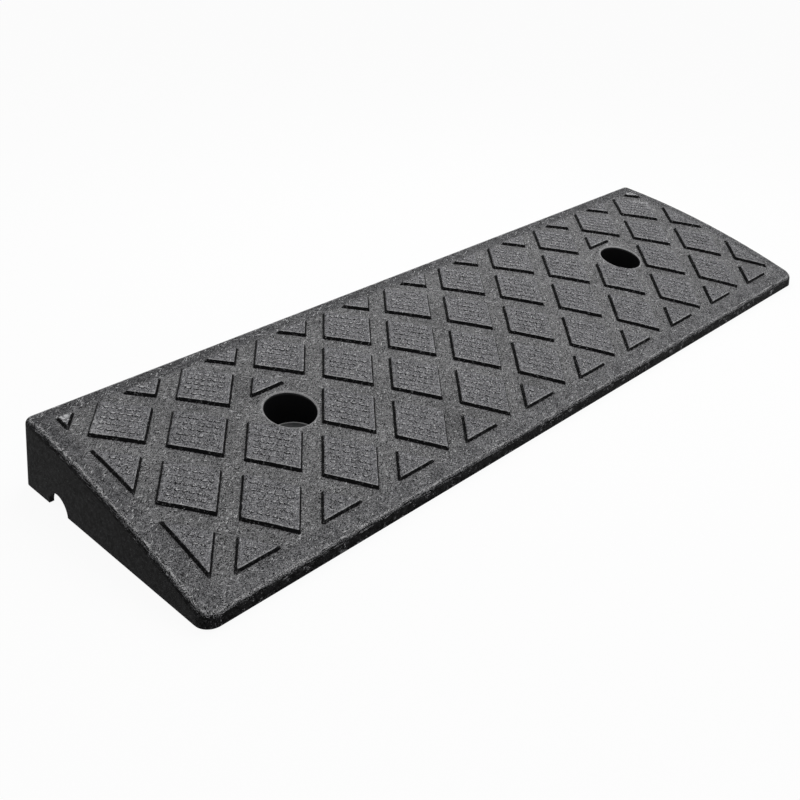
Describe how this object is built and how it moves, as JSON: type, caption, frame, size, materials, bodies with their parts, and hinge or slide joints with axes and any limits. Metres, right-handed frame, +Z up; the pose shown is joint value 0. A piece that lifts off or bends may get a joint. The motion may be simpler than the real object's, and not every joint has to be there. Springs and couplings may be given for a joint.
{
  "type": "threshold ramp",
  "caption": "Low wedge ramp moulded in black plastic, with a gently curved diamond-tread top, counterbored fixing holes and a half-round passage, for rolling over a door sill or kerb.",
  "frame": {"origin": "on the ground at the middle of the footprint", "axes": "+X along the ramp, -Y towards the low front lip, +Y towards the tall wall, +Z up"},
  "size_m": [0.6, 0.178, 0.0469],
  "materials": {
    "moulded_plastic": "coarse matt black, lightly dusty on top",
    "zinc_steel": "dull zinc plate",
    "foot_rubber": "matt"
  },
  "bodies": {
    "root": {"ramp_body": "moulded_plastic", "washer_left": "zinc_steel", "washer_right": "zinc_steel", "foot_rear_1": "foot_rubber", "foot_rear_2": "foot_rubber", "foot_rear_3": "foot_rubber", "foot_rear_4": "foot_rubber", "foot_front_1": "foot_rubber", "foot_front_2": "foot_rubber", "foot_front_3": "foot_rubber", "foot_front_4": "foot_rubber"}
  },
  "joints": []
}
